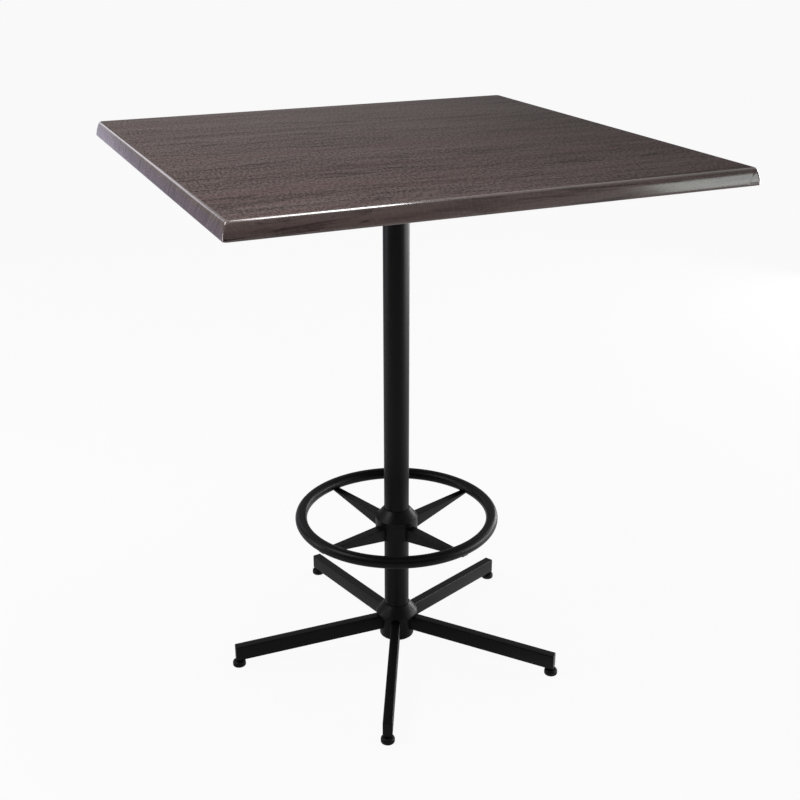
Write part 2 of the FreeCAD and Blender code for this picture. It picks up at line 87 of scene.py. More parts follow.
@dataclass
class Graph:
    """Adds and joins shader nodes in the node tree of a material, a world or a group."""

    tree: NodeTree

    def add(self, kind: str, inputs: dict | None = None, **settings: object) -> Node:
        """Add a node.

        Args:
            kind: The node's type without its "ShaderNode" prefix.
            inputs: Socket name or index to a value, or to an output socket to link.
            **settings: Attributes of the node, such as operation="MULTIPLY".

        Returns:
            The new node.
        """
        node = self.tree.nodes.new(f"ShaderNode{kind}")
        for name, value in settings.items():
            setattr(node, name, value)
        self.feed(node, inputs or {})
        return node

    def feed(self, node: Node, inputs: dict) -> None:
        """Link or set a node's inputs, given by name or index."""
        for name, value in inputs.items():
            if isinstance(value, Socket):
                self.tree.links.new(value, node.inputs[name])
            else:
                node.inputs[name].default_value = value

    def find(self, kind: str) -> Node:
        """Return the tree's node of a type, such as "BACKGROUND"."""
        return next(n for n in self.tree.nodes if n.type == kind)

    def math(self, operation: str, *values: object) -> Socket:
        """Join numbers or sockets with a Math node and return its output."""
        return self.add("Math", dict(enumerate(values)), operation=operation).outputs[0]

    def noise(self, vector: Socket, detail: float = 3.0, roughness: float = 0.55) -> Socket:
        """Noise of unit scale over a vector that is already stretched.

        Args:
            vector: The stretched coordinates.
            detail: Octaves.
            roughness: How much the fine octaves count.

        Returns:
            The noise's value, about 0 to 1.
        """
        inputs = {"Vector": vector, "Scale": 1.0, "Detail": detail, "Roughness": roughness}
        return self.add("TexNoise", inputs).outputs["Fac"]

    def stretch(self, vector: Socket, *scale: float) -> Socket:
        """Scale coordinates by so much along each axis, through a Mapping node."""
        return self.add("Mapping", {"Vector": vector, "Scale": scale}).outputs[0]

    def remap(self, value: Socket, low: float, high: float, to_low: float = 0.0,
              to_high: float = 1.0) -> Socket:
        """Smooth step of a value between two levels, onto another pair of levels.

        Args:
            value: What is mapped.
            low: Where the step starts.
            high: Where it ends.
            to_low: The result at the start.
            to_high: The result at the end.

        Returns:
            The mapped value.
        """
        inputs = {"Value": value, "From Min": low, "From Max": high, "To Min": to_low, "To Max": to_high}
        return self.add("MapRange", inputs, interpolation_type="SMOOTHSTEP").outputs[0]

    def mix(self, share: object, first: object, second: object) -> Socket:
        """Blend two colours by a share and return the colour."""
        first, second = (c if isinstance(c, Socket) else (*c, 1.0) for c in (first, second))
        return self.add("Mix", {0: share, 6: first, 7: second}, data_type="RGBA").outputs[2]


def new_group(name: str, sockets_in: dict[str, tuple[str, object]],
              sockets_out: dict[str, str]) -> tuple[Graph, object, Node]:
    """Make a shader node group with named sockets.

    Args:
        name: The group's name.
        sockets_in: Input name to its socket type and default, which may be None.
        sockets_out: Output name to its socket type.

    Returns:
        A Graph on the group's tree, its input node's outputs and its output node.
    """
    tree = bpy.data.node_groups.new(name, "ShaderNodeTree")
    for label, (kind, default) in sockets_in.items():
        socket = tree.interface.new_socket(label, in_out="INPUT", socket_type=f"NodeSocket{kind}")
        if default is not None:
            socket.default_value = default
    for label, kind in sockets_out.items():
        tree.interface.new_socket(label, in_out="OUTPUT", socket_type=f"NodeSocket{kind}")
    entry = tree.nodes.new("NodeGroupInput")
    leave = tree.nodes.new("NodeGroupOutput")
    return Graph(tree), entry.outputs, leave


class Grain(Enum):
    """The wood figure's noises: scale along and across the grain, octaves and roughness."""

    SWAY = (1.6, 3.0, 2.0, 0.55)
    GROWTH = (0.8, 5.5, 2.0, 0.55)
    PATCHES = (4.0, 26.0, 3.0, 0.55)
    BANDS = (0.9, 11.0, 3.0, 0.55)
    HUE = (1.1, 19.0, 3.0, 0.55)
    RIBBONS = (2.0, 42.0, 3.0, 0.6)
    STREAKS = (4.0, 125.0, 3.0, 0.6)
    FLECKS = (34.0, 150.0, 1.0, 0.55)
    RIDGES = (8.0, 280.0, 1.0, 0.55)
    FIBRES = (45.0, 900.0, 3.0, 0.7)
    MOTTLE = (235.0, 105.0, 1.0, 0.5)
    PORES = (60.0, 900.0, 1.0, 0.55)

    def over(self, g: Graph, place: Socket) -> Socket:
        """Return the noise over flat coordinates in metres."""
        along, across, detail, roughness = self.value
        return g.noise(g.stretch(place, along, across, 1.0), detail, roughness)


SWAY_REACH = 0.05
GROWTH_RINGS = 17.0
MOTTLE_SLANT = math.radians(9.0)
MIDDLE_TONE = 0.66


def wood_figure_group() -> NodeTree:
    """Dark wood figure over flat metres, with the grain along the first coordinate.

    Returns:
        A group that puts out Color, Height and Roughness.
    """
    g, given, leave = new_group(
        "wood_figure",
        {
            "Vector": ("Vector", None),
            "Light Tone": ("Color", (0.5, 0.5, 0.5, 1.0)),
            "Red Tone": ("Color", (0.5, 0.4, 0.4, 1.0)),
            "Dark Tone": ("Color", (0.1, 0.1, 0.1, 1.0)),
            "Base Roughness": ("Float", 0.4),
            "Stipple": ("Float", 1.0),
            "Line Strength": ("Float", 0.3),
            "Streak Relief": ("Float", 0.1),
        },
        {"Color": "Color", "Height": "Float", "Roughness": "Float"},
    )
    place = given["Vector"]
    # A slow sway bends the grain, and slices of a slow noise are its growth rings.
    sway = g.math("SUBTRACT", Grain.SWAY.over(g, place), 0.5)
    drift = g.add("CombineXYZ", {1: g.math("MULTIPLY", sway, SWAY_REACH)}).outputs[0]
    swayed = g.add("VectorMath", {0: place, 1: drift}).outputs[0]
    growth = Grain.GROWTH.over(g, swayed)
    ring = g.math("FRACT", g.math("MULTIPLY", growth, GROWTH_RINGS))
    late_wood = g.math("MULTIPLY", g.remap(ring, 0.45, 0.93), g.remap(ring, 1.0, 0.95))
    patches = g.remap(Grain.PATCHES.over(g, place), 0.40, 0.60)
    late_wood = g.math("MULTIPLY", late_wood, patches)
    # Bands, ribbons, streaks and flecks run along the grain, each finer than the last.
    bands = g.remap(Grain.BANDS.over(g, swayed), 0.3, 0.7)
    ribbons = Grain.RIBBONS.over(g, swayed)
    streaks = Grain.STREAKS.over(g, swayed)
    lines = g.remap(streaks, 0.47, 0.36)
    flecks = g.remap(Grain.FLECKS.over(g, swayed), 0.64, 0.74)
    flecks = g.math("MULTIPLY", flecks, g.remap(ribbons, 0.52, 0.44))
    # Fibres, pores and a slanted mottle are the foil's own fine print.
    fibres = Grain.FIBRES.over(g, place)
    slanted = g.add("Mapping", {"Vector": place, "Rotation": (0.0, 0.0, MOTTLE_SLANT)}).outputs[0]
    mottle = Grain.MOTTLE.over(g, slanted)
    pores = g.remap(Grain.PORES.over(g, place), 0.66, 0.76)
    tone = MIDDLE_TONE
    for texture, weight in ((bands, 0.30), (ribbons, 0.6), (fibres, 0.6)):
        tone = g.math("MULTIPLY_ADD", g.math("SUBTRACT", texture, 0.5), weight, tone)
    stipple = g.math("MULTIPLY", g.math("SUBTRACT", mottle, 0.5), given["Stipple"])
    tone = g.math("ADD", stipple, tone)
    tone = g.math("SUBTRACT", tone, g.math("MULTIPLY", lines, given["Line Strength"]))
    for mask, weight in ((late_wood, -0.36), (flecks, -0.5), (pores, -0.2)):
        tone = g.math("MULTIPLY_ADD", mask, weight, tone)
    tone = g.add("Clamp", {"Value": tone}).outputs[0]
    hue = g.remap(Grain.HUE.over(g, swayed), 0.44, 0.62)
    light = g.mix(hue, given["Light Tone"], given["Red Tone"])
    colour = g.mix(tone, given["Dark Tone"], light)
    height = g.math("MULTIPLY_ADD", fibres, 0.02, g.math("MULTIPLY", pores, -0.03))
    height = g.math("MULTIPLY_ADD", late_wood, -0.04, height)
    ridges = g.math("ADD", streaks, Grain.RIDGES.over(g, place))
    height = g.math("MULTIPLY_ADD", ridges, given["Streak Relief"], height)
    roughness = g.math("MULTIPLY_ADD", g.math("SUBTRACT", streaks, 0.5), 0.12, given["Base Roughness"])
    roughness = g.math("MULTIPLY_ADD", pores, 0.12, roughness)
    g.feed(leave, {"Color": colour, "Height": height, "Roughness": roughness})
    return g.tree


def grit_group() -> NodeTree:
    """Fine even texture of a baked or moulded skin, with cloudy wear.

    Returns:
        A group that puts out Height, Roughness and Wear.
    """
    g, given, leave = new_group(
        "fine_grit",
        {
            "Vector": ("Vector", None),
            "Grain Per Metre": ("Float", 900.0),
            "Base Roughness": ("Float", 0.4),
            "Roughness Spread": ("Float", 0.1),
        },
        {"Height": "Float", "Roughness": "Float", "Wear": "Float"},
    )
    scaling = {0: given["Vector"], "Scale": given["Grain Per Metre"]}
    scaled = g.add("VectorMath", scaling, operation="SCALE").outputs[0]
    peel = g.noise(scaled, detail=2.0, roughness=0.5)
    cloud = g.noise(g.stretch(given["Vector"], 22.0, 22.0, 9.0), detail=4.0, roughness=0.62)
    specks = g.remap(g.noise(g.stretch(given["Vector"], 420.0, 420.0, 420.0), detail=1.0), 0.66, 0.8)
    spread = g.math("MULTIPLY", g.math("SUBTRACT", cloud, 0.5), given["Roughness Spread"])
    roughness = g.math("ADD", given["Base Roughness"], spread)
    wear = g.math("ADD", g.math("MULTIPLY", cloud, 0.6), g.math("MULTIPLY", specks, 0.4))
    g.feed(leave, {"Height": peel, "Roughness": roughness, "Wear": wear})
    return g.tree


@dataclass
class Workshop:
    """The shared node groups that finishes are mixed from."""

    wood_figure: NodeTree = field(default_factory=wood_figure_group)
    fine_grit: NodeTree = field(default_factory=grit_group)


def new_material(name: str) -> tuple[Material, Graph, Node]:
    """Make a material with a Principled shader.

    Args:
        name: The material's name.

    Returns:
        The material, a Graph on its nodes and the shader.
    """
    material = bpy.data.materials.new(name)
    material.use_nodes = True
    graph = Graph(material.node_tree)
    return material, graph, graph.find("BSDF_PRINCIPLED")


def bump(graph: Graph, shader: Node, height: Socket, depth: float, strength: float) -> None:
    """Feed a height through a Bump node into a shader's Normal.

    Args:
        graph: The material's graph.
        shader: The shader that takes the normal.
        height: The height, 0 to 1.
        depth: What a height of 1 is, in metres.
        strength: The Bump node's strength.
    """
    node = graph.add("Bump", {"Height": height, "Distance": depth, "Strength": strength})
    graph.feed(shader, {"Normal": node.outputs[0]})


@dataclass(frozen=True)
class WoodGrainFoil:
    """Dark wood-grain skin of the moulded top, laid flat on a UV map in metres.

    Its stipple is strong on the flat face and faint on the rim, and its rolled edge is polished.
    """

    flat_half: float = 445.0 * MM
    rim_blend: float = 4.0 * MM
    light_tone: RGB = (0.168, 0.124, 0.116)
    red_tone: RGB = (0.152, 0.101, 0.094)
    dark_tone: RGB = (0.040, 0.026, 0.024)
    roughness: float = 0.12
    specular: float = 1.0
    polish_roughness: float = 0.08
    roll_start: float = 446.2 * MM
    roll_end: float = 454.0 * MM
    polish_fade_in: float = 1.0 * MM
    polish_fade_out: float = 2.0 * MM
    relief: float = 0.4 * MM
    bump_strength: float = 0.5
    face_stipple: float = 2.5
    rim_stipple: float = 0.4
    face_lines: float = 0.24
    rim_lines: float = 0.48
    side_streak_relief: float = 0.02
    end_streak_relief: float = 1.0

    def material(self, shop: Workshop) -> Material:
        """Return the finish as a material."""
        material, g, shader = new_material("wood_grain_foil")
        flat = g.add("UVMap", uv_map="grain").outputs[0]
        parts = g.add("SeparateXYZ", {0: flat}).outputs
        along = g.math("ABSOLUTE", parts["X"])
        reach = g.math("MAXIMUM", along, g.math("ABSOLUTE", parts["Y"]))
        rim = (self.flat_half, self.flat_half + self.rim_blend)
        figure = {
            "Vector": flat,
            "Light Tone": (*self.light_tone, 1.0),
            "Red Tone": (*self.red_tone, 1.0),
            "Dark Tone": (*self.dark_tone, 1.0),
            "Base Roughness": self.roughness,
            "Stipple": g.remap(reach, *rim, self.face_stipple, self.rim_stipple),
            "Line Strength": g.remap(reach, *rim, self.face_lines, self.rim_lines),
            "Streak Relief": g.remap(along, *rim, self.side_streak_relief, self.end_streak_relief),
        }
        group = g.add("Group", figure, node_tree=shop.wood_figure)
        past_start = g.remap(reach, self.roll_start, self.roll_start + self.polish_fade_in)
        before_end = g.remap(reach, self.roll_end, self.roll_end - self.polish_fade_out)
        g.feed(shader, {
            "Base Color": group.outputs["Color"],
            "Roughness": group.outputs["Roughness"],
            "Specular IOR Level": self.specular,
            "Coat Weight": g.math("MULTIPLY", past_start, before_end),
            "Coat Roughness": self.polish_roughness,
        })
        bump(g, shader, group.outputs["Height"], self.relief, self.bump_strength)
        return material


@dataclass(frozen=True)
class BakedSkin:
    """Powder coat, backing, plating or plastic: one tone with a fine peel and a little wear."""

    name: str
    colour: RGB
    worn_colour: RGB
    roughness: float
    roughness_spread: float
    grain_per_metre: float
    relief: float
    specular: float
    metallic: float = 0.0
    bump_strength: float = 0.35

    def material(self, shop: Workshop) -> Material:
        """Return the finish as a material."""
        material, g, shader = new_material(self.name)
        grit = {
            "Vector": g.add("TexCoord").outputs["Object"],
            "Grain Per Metre": self.grain_per_metre,
            "Base Roughness": self.roughness,
            "Roughness Spread": self.roughness_spread,
        }
        group = g.add("Group", grit, node_tree=shop.fine_grit)
        g.feed(shader, {
            "Base Color": g.mix(g.remap(group.outputs["Wear"], 0.25, 0.75), self.colour, self.worn_colour),
            "Roughness": group.outputs["Roughness"],
            "Specular IOR Level": self.specular,
            "Metallic": self.metallic,
        })
        bump(g, shader, group.outputs["Height"], self.relief, self.bump_strength)
        return material


SKINS = (
    BakedSkin("black_powder_coat", (0.0030, 0.0030, 0.0033), (0.0048, 0.0048, 0.0050), 0.38, 0.12,
              1400.0, 0.05 * MM, 0.15),
    BakedSkin("dark_backing_sheet", (0.030, 0.026, 0.025), (0.045, 0.040, 0.038), 0.62, 0.12,
              700.0, 0.1 * MM, 0.3),
    BakedSkin("zinc_plate", (0.55, 0.56, 0.58), (0.42, 0.43, 0.44), 0.34, 0.2,
              2600.0, 0.02 * MM, 0.5, 1.0),
    BakedSkin("black_zinc_plate", (0.020, 0.020, 0.022), (0.045, 0.045, 0.047), 0.42, 0.2,
              2600.0, 0.02 * MM, 0.5, 1.0),
    BakedSkin("black_nylon", (0.0035, 0.0035, 0.0035), (0.007, 0.007, 0.007), 0.48, 0.15,
              1900.0, 0.04 * MM, 0.14),
)


@dataclass
class Finishes:
    """Every material of the table, made once."""

    shop: Workshop = field(default_factory=Workshop)

    def __post_init__(self) -> None:
        """Make the materials from the shared groups."""
        self.foil = WoodGrainFoil().material(self.shop)
        skins = [skin.material(self.shop) for skin in SKINS]
        self.coat, self.backing, self.zinc, self.black_zinc, self.nylon = skins


# --- mesh making


def rounded_face(bm: Mesh, points: list[Vector], radii: list[float], segments: int) -> Face:
    """Make a flat face whose corners are rounded.

    Args:
        bm: The mesh that takes the face.
        points: Its corners in order.
        radii: The round at each corner, or 0.
        segments: The steps in each round.

    Returns:
        The face.
    """
    verts = [bm.verts.new(p) for p in points]
    face = bm.faces.new(verts)
    for i, (vert, radius) in enumerate(zip(verts, radii)):
        if not radius:
            continue
        corner = points[i]
        angle = (points[i - 1] - corner).angle(points[(i + 1) % len(points)] - corner)
        trim = radius / math.tan(angle / 2)
        made = bmesh.ops.bevel(bm, geom=[vert], offset=trim, offset_type="OFFSET", segments=segments,
                               profile=0.5, affect="VERTICES", material=-1, clamp_overlap=False)
        face = made["verts"][0].link_faces[0]
    return face


def put_in_scene(name: str, data: bpy.types.ID) -> Piece:
    """Make an object from a mesh, a lamp or a camera, link it and return it."""
    made = bpy.data.objects.new(name, data)
    bpy.context.scene.collection.objects.link(made)
    return made


def face_outward(bm: Mesh) -> None:
    """Turn every face of a closed mesh outward."""
    bmesh.ops.recalc_face_normals(bm, faces=list(bm.faces))


def round_edges(bm: Mesh, edges: list[bmesh.types.BMEdge], radius: float, segments: int) -> None:
    """Round edges off by a radius, in so many steps."""
    bmesh.ops.bevel(bm, geom=edges, offset=radius, offset_type="OFFSET", segments=segments, profile=0.5,
                    affect="EDGES", material=-1, clamp_overlap=True)


def extrude_cap(bm: Mesh, cap: Face, step: Vector,
                scale: float = 1.0) -> tuple[Face, list[bmesh.types.BMVert]]:
    """Pull a cap face on and scale it about its middle line.

    Args:
        bm: The mesh.
        cap: The face to pull.
        step: How far it moves.
        scale: How its size changes in the plane.

    Returns:
        The new cap and its vertices.
    """
    has_walls = any(len(edge.link_faces) > 1 for edge in cap.edges)
    made = bmesh.ops.extrude_face_region(bm, geom=[cap])["geom"]
    if has_walls:
        bmesh.ops.delete(bm, geom=[cap], context="FACES_ONLY")
    verts = [g for g in made if isinstance(g, bmesh.types.BMVert)]
    if scale != 1.0:
        bmesh.ops.scale(bm, vec=(scale, scale, 1.0), verts=verts)
    bmesh.ops.translate(bm, vec=step, verts=verts)
    return next(g for g in made if isinstance(g, Face)), verts


def spin_round(bm: Mesh, steps: int) -> None:
    """Spin an outline full circle round the upright axis and close its seam and poles."""
    bmesh.ops.spin(bm, geom=list(bm.verts) + list(bm.edges), cent=(0, 0, 0), axis=(0, 0, 1),
                   angle=math.tau, steps=steps, use_merge=True)
    bmesh.ops.remove_doubles(bm, verts=list(bm.verts), dist=WELD_DISTANCE)
    face_outward(bm)


def revolve(outline: list[Point], steps: int = 96, segments: int = 5) -> Mesh:
    """Spin a closed outline round Z.

    Args:
        outline: Corners as (radius, height, round), in metres.
        steps: Facets round the axis.
        segments: Steps in each round.

    Returns:
        A closed mesh.
    """
    bm = bmesh.new()
    points = [Vector((r, 0.0, z)) for r, z, _ in outline]
    rounded_face(bm, points, [c for _, _, c in outline], segments)
    bmesh.ops.delete(bm, geom=list(bm.faces), context="FACES_ONLY")
    on_axis = [e for e in bm.edges if all(v.co.x < WELD_DISTANCE for v in e.verts)]
    bmesh.ops.delete(bm, geom=on_axis, context="EDGES")
    spin_round(bm, steps)
    return bm


def barrel(inner: float, outer: float, low: float, high: float, *rounds: float) -> list[Point]:
    """List a plain barrel's outline, with a round for each corner from its inner foot on."""
    ends = ((inner, low), (outer, low), (outer, high), (inner, high))
    return [(*end, size) for end, size in zip(ends, rounds or (0.0,) * 4)]


def turn(bm: Mesh, degrees: float, axis: str = "Z") -> Mesh:
    """Turn a mesh round one of the table's axes and return it."""
    matrix = Matrix.Rotation(math.radians(degrees), 3, axis)
    bmesh.ops.rotate(bm, cent=(0, 0, 0), matrix=matrix, verts=list(bm.verts))
    return bm


def shift(bm: Mesh, step: Vector) -> Mesh:
    """Move a mesh and return it."""
    bmesh.ops.translate(bm, vec=step, verts=list(bm.verts))
    return bm


def join(parts: list[Mesh]) -> Mesh:
    """Put several meshes into the first one and return it."""
    whole = parts[0]
    for part in parts[1:]:
        mesh = bpy.data.meshes.new("joining")
        part.to_mesh(mesh)
        part.free()
        whole.from_mesh(mesh)
        bpy.data.meshes.remove(mesh)
    return whole


def finish_piece(name: str, bm: Mesh, materials: list[Material], body: str,
                 nodes: list[str], shading: Shading = Shading.EDGED) -> Piece:
    """Make a mesh into a piece that rides on a body and stands for CAD nodes.

    Args:
        name: The piece's name.
        bm: Its mesh, in place, which is freed.
        materials: Its materials, by index.
        body: The body it rides on.
        nodes: The CAD nodes it stands for.
        shading: How its edges are shaded.

    Returns:
        The piece.
    """
    for face in bm.faces:
        face.smooth = True
    mesh = bpy.data.meshes.new(name)
    bm.to_mesh(mesh)
    bm.free()
    if shading is not Shading.ROUND:
        mesh.set_sharp_from_angle(angle=math.radians(shading.value))
    for material in materials:
        mesh.materials.append(material)
    piece = put_in_scene(name, mesh)
    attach(piece, body)
    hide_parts(*nodes)
    log.info("%s: %d faces, on %s", name, len(mesh.polygons), body)
    return piece


def far_direction(node: str) -> float:
    """Which way a bar points from the upright axis.

    Args:
        node: A CAD node that reaches outwards.

    Returns:
        The direction of its far end in degrees.
    """
    points = [v.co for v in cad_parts[node].data.vertices]
    reach = max(p.xy.length for p in points)
    far = [p.xy for p in points if p.xy.length > reach - FAR_END_DEPTH]
    middle = sum(far, Vector((0.0, 0.0))) / len(far)
    return math.degrees(math.atan2(middle.y, middle.x))


def middle_of(node: str) -> Vector:
    """Return the middle of a CAD node's box."""
    low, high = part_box(node)
    return (low + high) / 2


# --- the pieces


@dataclass
class SubAssembly:
    """Pieces of the table that are made together."""

    finishes: Finishes

    def painted(self, name: str, bm: Mesh, node: str, shading: Shading = Shading.EDGED) -> Piece:
        """Make a mesh into a powder-coated piece of the table's body.

        Args:
            name: The piece's name.
            bm: Its mesh, in place, which is freed.
            node: The CAD node it stands for.
            shading: How its edges are shaded.

        Returns:
            The piece.
        """
        return finish_piece(name, bm, [self.finishes.coat], ROOT_BODY, [node], shading)

    def build(self) -> None:
        """Make every piece of the sub-assembly."""
        raise NotImplementedError


@dataclass
class MouldedTop(SubAssembly):
    """Square top with a rolled, flared edge and a rim that hides its core."""

    edge_height: float = 28.6 * MM
    panel: float = 20.0 * MM
    corner_radius: float = 6.0 * MM
    roll_radius: float = 5.0 * MM
    shoulder: float = math.radians(68.0)
    belly_radius: float = 86.0 * MM
    rim_round: float = 1.5 * MM
    rim_land: float = 7.0 * MM
    draft: float = 4.0 * MM
    face_land: float = 0.5 * MM
    rim_steps: int = 6
    belly_steps: int = 10
    roll_steps: int = 9
    corner_steps: int = 10
    tolerance: float = 0.01 * MM

    def edge_stations(self) -> list[tuple[float, float]]:
        """List the edge from the rim's foot up to the flat face.

        Returns:
            Pairs of distance in from the rim and height over the rim's foot.
        """
        roll_down = self.roll_radius * (1 - math.cos(self.shoulder))
        belly_down = self.edge_height - roll_down - self.rim_round
        foot = math.acos(math.cos(self.shoulder) - belly_down / self.belly_radius)
        belly_out = self.belly_radius * (math.sin(foot) - math.sin(self.shoulder))
        rim_in = self.rim_round * (1 - math.sin(foot))
        stations = []
        for i in range(self.rim_steps + 1):
            a = math.pi + (foot - math.pi) * i / self.rim_steps
            stations.append((self.rim_round * (1 - math.sin(a)), self.rim_round * (1 + math.cos(a))))
        for i in range(1, self.belly_steps + 1):
            a = foot + (self.shoulder - foot) * i / self.belly_steps
            out = self.belly_radius * (math.sin(a) - math.sin(self.shoulder))
            down = self.belly_radius * (math.cos(self.shoulder) - math.cos(a))
            stations.append((rim_in + belly_out - out, self.edge_height - roll_down - down))
        for i in range(1, self.roll_steps + 1):
            a = self.shoulder * (1 - i / self.roll_steps)
            inset = rim_in + belly_out + self.roll_radius * (math.sin(self.shoulder) - math.sin(a))
            stations.append((inset, self.edge_height - self.roll_radius * (1 - math.cos(a))))
        stations.append((stations[-1][0] + self.face_land, self.edge_height))
        return stations

    def square(self, bm: Mesh, half: float, radius: float, height: float) -> Face:
        """Make a level square face with round corners."""
        ways = ((-1, -1), (1, -1), (1, 1), (-1, 1))
        points = [Vector((x * half, y * half, height)) for x, y in ways]
        return rounded_face(bm, points, [radius] * 4, self.corner_steps)

    def build(self) -> None:
        """Model the top and lay its grain."""
        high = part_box("table_top")[1]
        half = high.x
        foot = high.z - self.edge_height
        bm = bmesh.new()
        flat_size = bm.verts.layers.float.new("flat_size")
        stations = self.edge_stations()
        size = half - stations[0][0]
        underside = self.square(bm, size, self.corner_radius, foot)
        mouth_half = half - self.rim_round - self.rim_land
        mouth_share = mouth_half / size
        cap = underside
        run = 0.0
        for before, after in zip(stations, stations[1:]):
            run += math.dist(before, after)
            new_size = half - after[0]
            cap, verts = extrude_cap(bm, cap, Vector((0, 0, after[1] - before[1])), new_size / size)
            size = new_size
            for vert in verts:
                vert[flat_size] = run
        mouth, _ = extrude_cap(bm, underside, Vector((0, 0, 0)), mouth_share)
        extrude_cap(bm, mouth, Vector((0, 0, self.edge_height - self.panel)), 1 - self.draft / mouth_half)
        face_outward(bm)
        grain = bm.loops.layers.uv.new("grain")
        for face in bm.faces:
            reach = max(max(abs(v.co.x), abs(v.co.y)) for v in face.verts)
            hidden = face.normal.z < 0.5 and reach < mouth_half + self.tolerance
            face.material_index = int(hidden)
            for loop in face.loops:
                point = loop.vert.co
                reach = max(abs(point.x), abs(point.y))
                flat = size + run - loop.vert[flat_size]
                loop[grain].uv = point.xy * (flat / reach)
        skins = [self.finishes.foil, self.finishes.backing]
        finish_piece("moulded_top", bm, skins, ROOT_BODY, ["table_top"])


@dataclass
class Column(SubAssembly):
    """Round tube between the base hub and the plate under the top."""

    wall: float = 2.0 * MM

    def build(self) -> None:
        """Model the tube."""
        low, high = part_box("column_tube")
        bore = high.x - self.wall
        self.painted("column", revolve(barrel(bore, high.x, low.z, high.z)), "column_tube")


@dataclass
class Hubs(SubAssembly):
    """The base hub, the foot ring's hub and the cone collar over each."""

    collar_lip: float = 6.0 * MM
    crest: float = 1.2 * MM
    edge_round: float = 1.0 * MM
    foot_round: float = 0.6 * MM
    crest_round: float = 0.5 * MM
    bore_round: float = 0.4 * MM
    base_hub_round: float = 1.6 * MM
    column_clearance: float = 0.1 * MM
    socket_wall: float = 4.0 * MM
    pocket_radius: float = 26.0 * MM
    pocket_mouth_round: float = 0.8 * MM
    pocket_root_round: float = 1.0 * MM
    bolt_hole_radius: float = 6.5 * MM

    def bore(self) -> float:
        """Return the radius of the bore that the column stands in."""
        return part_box("column_tube")[1].x + self.column_clearance

    def collar(self, node: str) -> None:
        """Model the cone collar that stands for a node."""
        low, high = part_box(node)
        bore = self.bore()
        lip = low.z + self.collar_lip
        outline = [
            (bore, high.z, 0.0),
            (bore, low.z, 0.0),
            (high.x, low.z, self.foot_round),
            (high.x, lip, self.edge_round),
            (bore + self.crest, high.z, self.crest_round),
        ]
        self.painted(f"{node}_cone", revolve(outline), node)

    def ring_hub(self) -> None:
        """Model the foot ring's hub."""
        low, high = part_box("ring_hub")
        collar_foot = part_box("ring_collar")[0].z
        rounds = (self.bore_round, self.edge_round, self.foot_round, 0.0)
        outline = barrel(self.bore(), high.x, low.z, collar_foot, *rounds)
        self.painted("ring_hub_barrel", revolve(outline), "ring_hub")

    def base_hub(self) -> None:
        """Model the base hub with its bolt pocket."""
        low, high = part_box("base_hub")
        collar_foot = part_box("base_collar")[0].z
        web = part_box("column_washer")[1].z
        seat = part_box("column_tube")[0].z
        socket = high.x - self.socket_wall
        outline = [
            (self.bolt_hole_radius, seat, 0.0),
            (socket, seat, 0.0),
            (socket, collar_foot, 0.0),
            (high.x, collar_foot, 0.0),
            (high.x, low.z, self.base_hub_round),
            (self.pocket_radius, low.z, self.pocket_mouth_round),
            (self.pocket_radius, web, self.pocket_root_round),
            (self.bolt_hole_radius, web, 0.0),
        ]
        self.painted("base_hub_body", revolve(outline), "base_hub")

    def build(self) -> None:
        """Model both hubs and both collars."""
        self.base_hub()
        self.ring_hub()
        for node in ("base_collar", "ring_collar"):
            self.collar(node)


@dataclass
class FootRing(SubAssembly):
    """Round tube ring on four tapered spokes."""

    root_width: float = 22.6 * MM
    tip_width: float = 15.0 * MM
    tip_depth: float = 2.6 * MM
    saddle: float = 0.5 * MM
    overrun: float = 4.0 * MM
    root_sink: float = 2.0 * MM
    root_drop: float = 7.0 * MM
    edge_round: float = 1.0 * MM
    edge_steps: int = 4
    tube_steps: int = 40
    ring_steps: int = 192

    def ring(self) -> None:
        """Model the ring's tube."""
        low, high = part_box("foot_ring")
        tube = (high.z - low.z) / 2
        bm = bmesh.new()
        bmesh.ops.create_circle(bm, cap_ends=False, radius=tube, segments=self.tube_steps)
        turn(bm, 90.0, "X")
        shift(bm, Vector((high.x - tube, 0, (low.z + high.z) / 2)))
        spin_round(bm, self.ring_steps)
        self.painted("foot_ring_tube", bm, "foot_ring", Shading.ROUND)

    def spoke(self, node: str) -> None:
        """Model a spoke that thins towards its tip."""
        ring_low, ring_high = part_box("foot_ring")
        tube = (ring_high.z - ring_low.z) / 2
        ring_radius = ring_high.x - tube
        root_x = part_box("ring_hub")[1].x - self.root_sink
        tip_x = ring_radius + self.overrun
        tip_top = ring_low.z + self.saddle
        root_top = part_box("ring_collar")[0].z - self.root_drop
        root_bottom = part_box(node)[0].z
        middle = (root_bottom + root_top) / 2
        half = self.root_width / 2
        bm = bmesh.new()
        points = [(-half, root_bottom), (half, root_bottom), (half, root_top), (-half, root_top)]
        root = bm.faces.new([bm.verts.new((root_x, y, z)) for y, z in points])
        tip, verts = extrude_cap(bm, root, Vector((tip_x - root_x, 0, 0)))
        for vert in verts:
            vert.co.y *= self.tip_width / self.root_width
            vert.co.z = tip_top if vert.co.z > middle else tip_top - self.tip_depth
        long_edges = [e for e in bm.edges if abs(e.verts[0].co.x - e.verts[1].co.x) > tip_x / 2]
        round_edges(bm, long_edges + list(tip.edges), self.edge_round, self.edge_steps)
        face_outward(bm)
        turn(bm, far_direction(node))
        self.painted(f"{node}_bar", bm, node)

    def build(self) -> None:
        """Model the ring and its spokes."""
        self.ring()
        for i in SPOKE_NUMBERS:
            self.spoke(f"ring_spoke_{i}")


